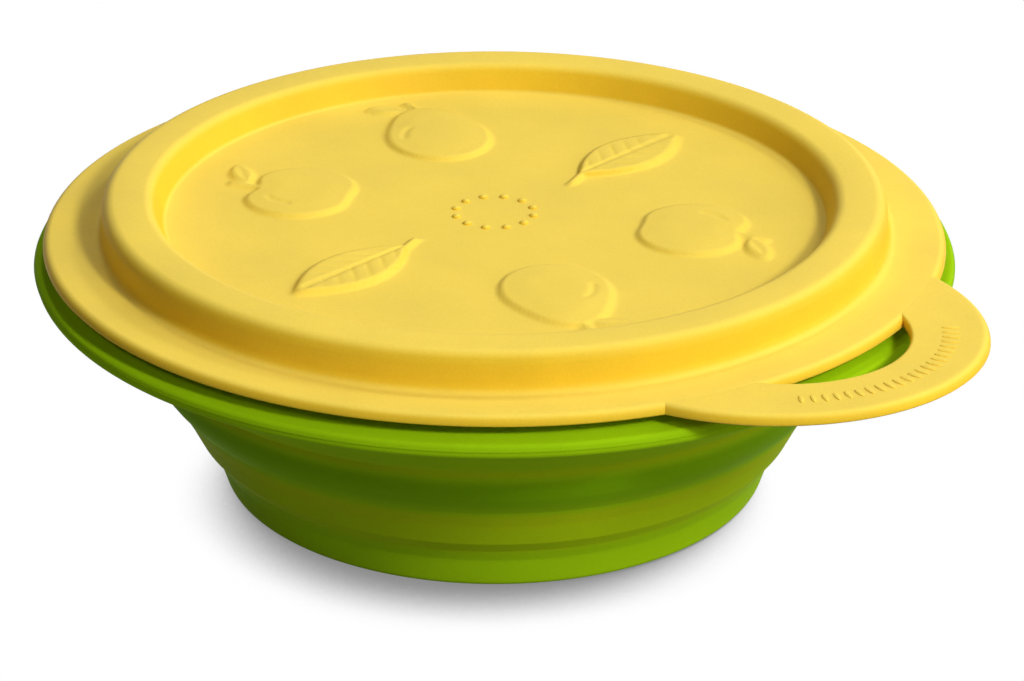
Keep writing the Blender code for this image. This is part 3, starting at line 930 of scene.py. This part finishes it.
class CONTAINER_OT_stage(bpy.types.Operator):
    """Make the pale floor, the studio light and the camera"""

    bl_idname = "container.stage"
    bl_label = "Stage"

    def execute(self, context):
        stage = context.scene.container_stage
        context.scene.view_settings.view_transform = "Standard"
        self.make_camera(context, stage)
        self.make_floor(stage)
        self.make_world(context, stage)
        camera_turn = math.degrees(stage.azimuth)
        self.make_lamp("Front lamp", stage.front_power, azimuth=camera_turn + 40, elevation=36)
        self.make_lamp("Fill lamp", stage.fill_power, azimuth=camera_turn - 25, elevation=42)
        self.make_lamp("Side lamp", stage.side_power, azimuth=camera_turn + 120, elevation=45)
        self.make_lamp("Back lamp", stage.back_power, azimuth=camera_turn + 180, elevation=60)
        return {"FINISHED"}

    def toward(self, azimuth, elevation):
        """Unit vector to a place round the bowl, in degrees. Azimuth 0 is in front, at -Y."""
        turn, rise = math.radians(azimuth), math.radians(elevation)
        level = math.cos(rise)
        return Vector((math.sin(turn) * level, -math.cos(turn) * level, math.sin(rise)))

    def seen_plainly(self, tree):
        """1 for a ray from the camera, and for one that a shine or a clear wall sends on."""
        path = add_node(tree, "ShaderNodeLightPath")
        direct = add_node(
            tree,
            "ShaderNodeMath",
            {"operation": "MAXIMUM"},
            {0: path.outputs["Is Camera Ray"], 1: path.outputs["Is Transmission Ray"]},
        )
        return add_node(
            tree,
            "ShaderNodeMath",
            {"operation": "MAXIMUM"},
            {0: direct.outputs[0], 1: path.outputs["Is Glossy Ray"]},
        )

    def make_camera(self, context, stage):
        """Stands at the photograph's angle, aimed so that the bowl sits left of and above centre."""
        # Size of the picture and where the camera sees the point that it turns round, in pixels
        width, height = 1024, 681
        seen_x, seen_y = 494.6, 252.1
        sensor = 36.0
        pixels = stage.lens * width / sensor
        middle = Vector((0.0, 0.0, stage.aim_height))
        back = self.toward(math.degrees(stage.azimuth), math.degrees(stage.elevation))
        right = Vector((0, 0, 1)).cross(back).normalized()
        up = back.cross(right)
        to_right, to_bottom = (seen_x - width / 2) / pixels, (seen_y - height / 2) / pixels
        aim = -back - right * to_right + up * to_bottom
        camera = bpy.data.cameras.new("Camera")
        camera.lens = stage.lens
        camera.sensor_width = sensor
        camera.clip_start = 0.01
        holder = bpy.data.objects.new("Camera", camera)
        context.scene.collection.objects.link(holder)
        holder.location = middle + back * stage.distance
        holder.rotation_mode = "QUATERNION"
        holder.rotation_quaternion = aim.to_track_quat("-Z", "Y") @ Quaternion((0, 0, 1), stage.roll)
        context.scene.camera = holder

    def make_floor(self, stage):
        """A sheet that the camera sees plain white, with a painted soft shadow round the bowl."""
        material = bpy.data.materials.new("White paper sweep")
        material.use_nodes = True
        tree = material.node_tree
        tree.nodes.clear()
        # The paper throws back less light than it shows, so that the bowl's underside stays dark
        returned = 0.2
        paper = add_node(tree, "ShaderNodeBsdfDiffuse", {"Color": (returned, returned, returned, 1.0)})
        glow = add_node(tree, "ShaderNodeEmission", {"Strength": stage.floor_glow})
        lit_paper = add_node(
            tree, "ShaderNodeAddShader", {}, {0: paper.outputs["BSDF"], 1: glow.outputs["Emission"]}
        )
        # The painted shadow darkens the sheet where the bowl closes it off from a direction above, somewhat
        # behind and to the right, as if the light came from there
        behind, aside = 0.5, 0.15
        near = self.toward(math.degrees(stage.azimuth), 0)
        left = self.toward(math.degrees(stage.azimuth) - 90, 0)
        lean = (Vector((0, 0, 1)) - near * behind - left * aside).normalized()
        from_light = add_node(tree, "ShaderNodeCombineXYZ", {"X": lean.x, "Y": lean.y, "Z": lean.z})
        open_share = add_node(
            tree,
            "ShaderNodeAmbientOcclusion",
            {"samples": 48, "Distance": stage.shadow_reach},
            {"Normal": from_light.outputs["Vector"]},
        )
        # How open the sheet is to that light where it is darkest, and where it is plain white again
        covered, clear, darkest = 0.18, 0.42, 0.27
        painted_shadow_strength = add_node(
            tree,
            "ShaderNodeMapRange",
            {
                "interpolation_type": "SMOOTHSTEP",
                "From Min": covered,
                "From Max": clear,
                "To Min": darkest,
            },
            {"Value": open_share.outputs["AO"]},
        )
        # The camera sees this white glow, darkened by the painted shadow
        white = add_node(tree, "ShaderNodeEmission", {}, {"Strength": painted_shadow_strength.outputs["Result"]})
        seen = self.seen_plainly(tree)
        mixed = add_node(
            tree,
            "ShaderNodeMixShader",
            {},
            {0: seen.outputs[0], 1: lit_paper.outputs["Shader"], 2: white.outputs["Emission"]},
        )
        add_node(tree, "ShaderNodeOutputMaterial", {}, {"Surface": mixed.outputs["Shader"]})
        half, gap = 3.0, 0.02 * MM
        corners = [(-half, -half, -gap), (half, -half, -gap), (half, half, -gap), (-half, half, -gap)]
        floor = new_piece("floor", corners, [(0, 1, 2, 3)], material)

    def make_world(self, context, stage):
        """A dim room with one bright side, white where the camera looks straight at it."""
        world = bpy.data.worlds.new("Pale room")
        context.scene.world = world
        world.use_nodes = True
        tree = world.node_tree
        tree.nodes.clear()
        seen = self.seen_plainly(tree)
        window_side = self.toward(math.degrees(stage.azimuth) + 80, 15)
        # Cosines of the angle from the window's middle at which it ends, and at which it is full
        window_end, window_full = 0.5, 0.95
        facing = add_node(
            tree,
            "ShaderNodeVectorMath",
            {"operation": "DOT_PRODUCT", 1: window_side},
            {0: add_node(tree, "ShaderNodeTexCoord").outputs["Generated"]},
        )
        glow = add_node(
            tree,
            "ShaderNodeMapRange",
            {
                "interpolation_type": "SMOOTHSTEP",
                "From Min": window_end,
                "From Max": window_full,
                "To Min": stage.room,
                "To Max": stage.window,
            },
            {"Value": facing.outputs["Value"]},
        )
        strength = add_node(
            tree,
            "ShaderNodeMapRange",
            {"To Max": 1.0},
            {"Value": seen.outputs[0], "To Min": glow.outputs["Result"]},
        )
        room = add_node(
            tree,
            "ShaderNodeBackground",
            {"Color": to_linear("#FFFFFF")},
            {"Strength": strength.outputs["Result"]},
        )
        add_node(tree, "ShaderNodeOutputWorld", {}, {"Surface": room.outputs["Background"]})

    def make_lamp(self, name, power, azimuth, elevation):
        """A small square softbox aimed at the lid."""
        distance, size = 1.1, 0.16
        lamp = bpy.data.lights.new(name, "AREA")
        lamp.energy = power
        lamp.size = size
        holder = bpy.data.objects.new(name, lamp)
        bpy.context.scene.collection.objects.link(holder)
        away = self.toward(azimuth, elevation)
        holder.location = Vector((0, 0, RIM_HIGH.z)) + away * distance
        holder.rotation_euler = (-away).to_track_quat("-Z", "Y").to_euler()


OPERATORS = (
    CONTAINER_OT_bowl,
    CONTAINER_OT_lid,
    CONTAINER_OT_dots,
    CONTAINER_OT_tab,
    CONTAINER_OT_ribs,
    CONTAINER_OT_stage,
)

SETTINGS = {
    "container_bowl": BowlSettings,
    "container_lid": LidSettings,
    "container_tab": TabSettings,
    "container_stage": StageSettings,
}


class CONTAINER_PT_sidebar(bpy.types.Panel):
    """Buttons and sizes for the container"""

    bl_idname = "CONTAINER_PT_sidebar"
    bl_label = "Folding container"
    bl_space_type = "VIEW_3D"
    bl_region_type = "UI"
    bl_category = "Container"

    def draw(self, context):
        for operator in OPERATORS:
            self.layout.operator(operator.bl_idname)
        for name in SETTINGS:
            group = getattr(context.scene, name)
            column = self.layout.column()
            for size in group.__annotations__:
                column.prop(group, size)


def register():
    for name, group in SETTINGS.items():
        bpy.utils.register_class(group)
        setattr(bpy.types.Scene, name, bpy.props.PointerProperty(type=group))
    for kind in (*OPERATORS, CONTAINER_PT_sidebar):
        bpy.utils.register_class(kind)


def unregister():
    for kind in reversed((*OPERATORS, CONTAINER_PT_sidebar)):
        bpy.utils.unregister_class(kind)
    for name, group in SETTINGS.items():
        delattr(bpy.types.Scene, name)
        bpy.utils.unregister_class(group)


def main():
    """Makes every piece and the stage."""
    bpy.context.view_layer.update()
    register()
    bpy.ops.container.bowl()
    bpy.ops.container.lid()
    bpy.ops.container.dots()
    bpy.ops.container.tab()
    bpy.ops.container.ribs()
    bpy.ops.container.stage()


if __name__ == "__main__":
    main()
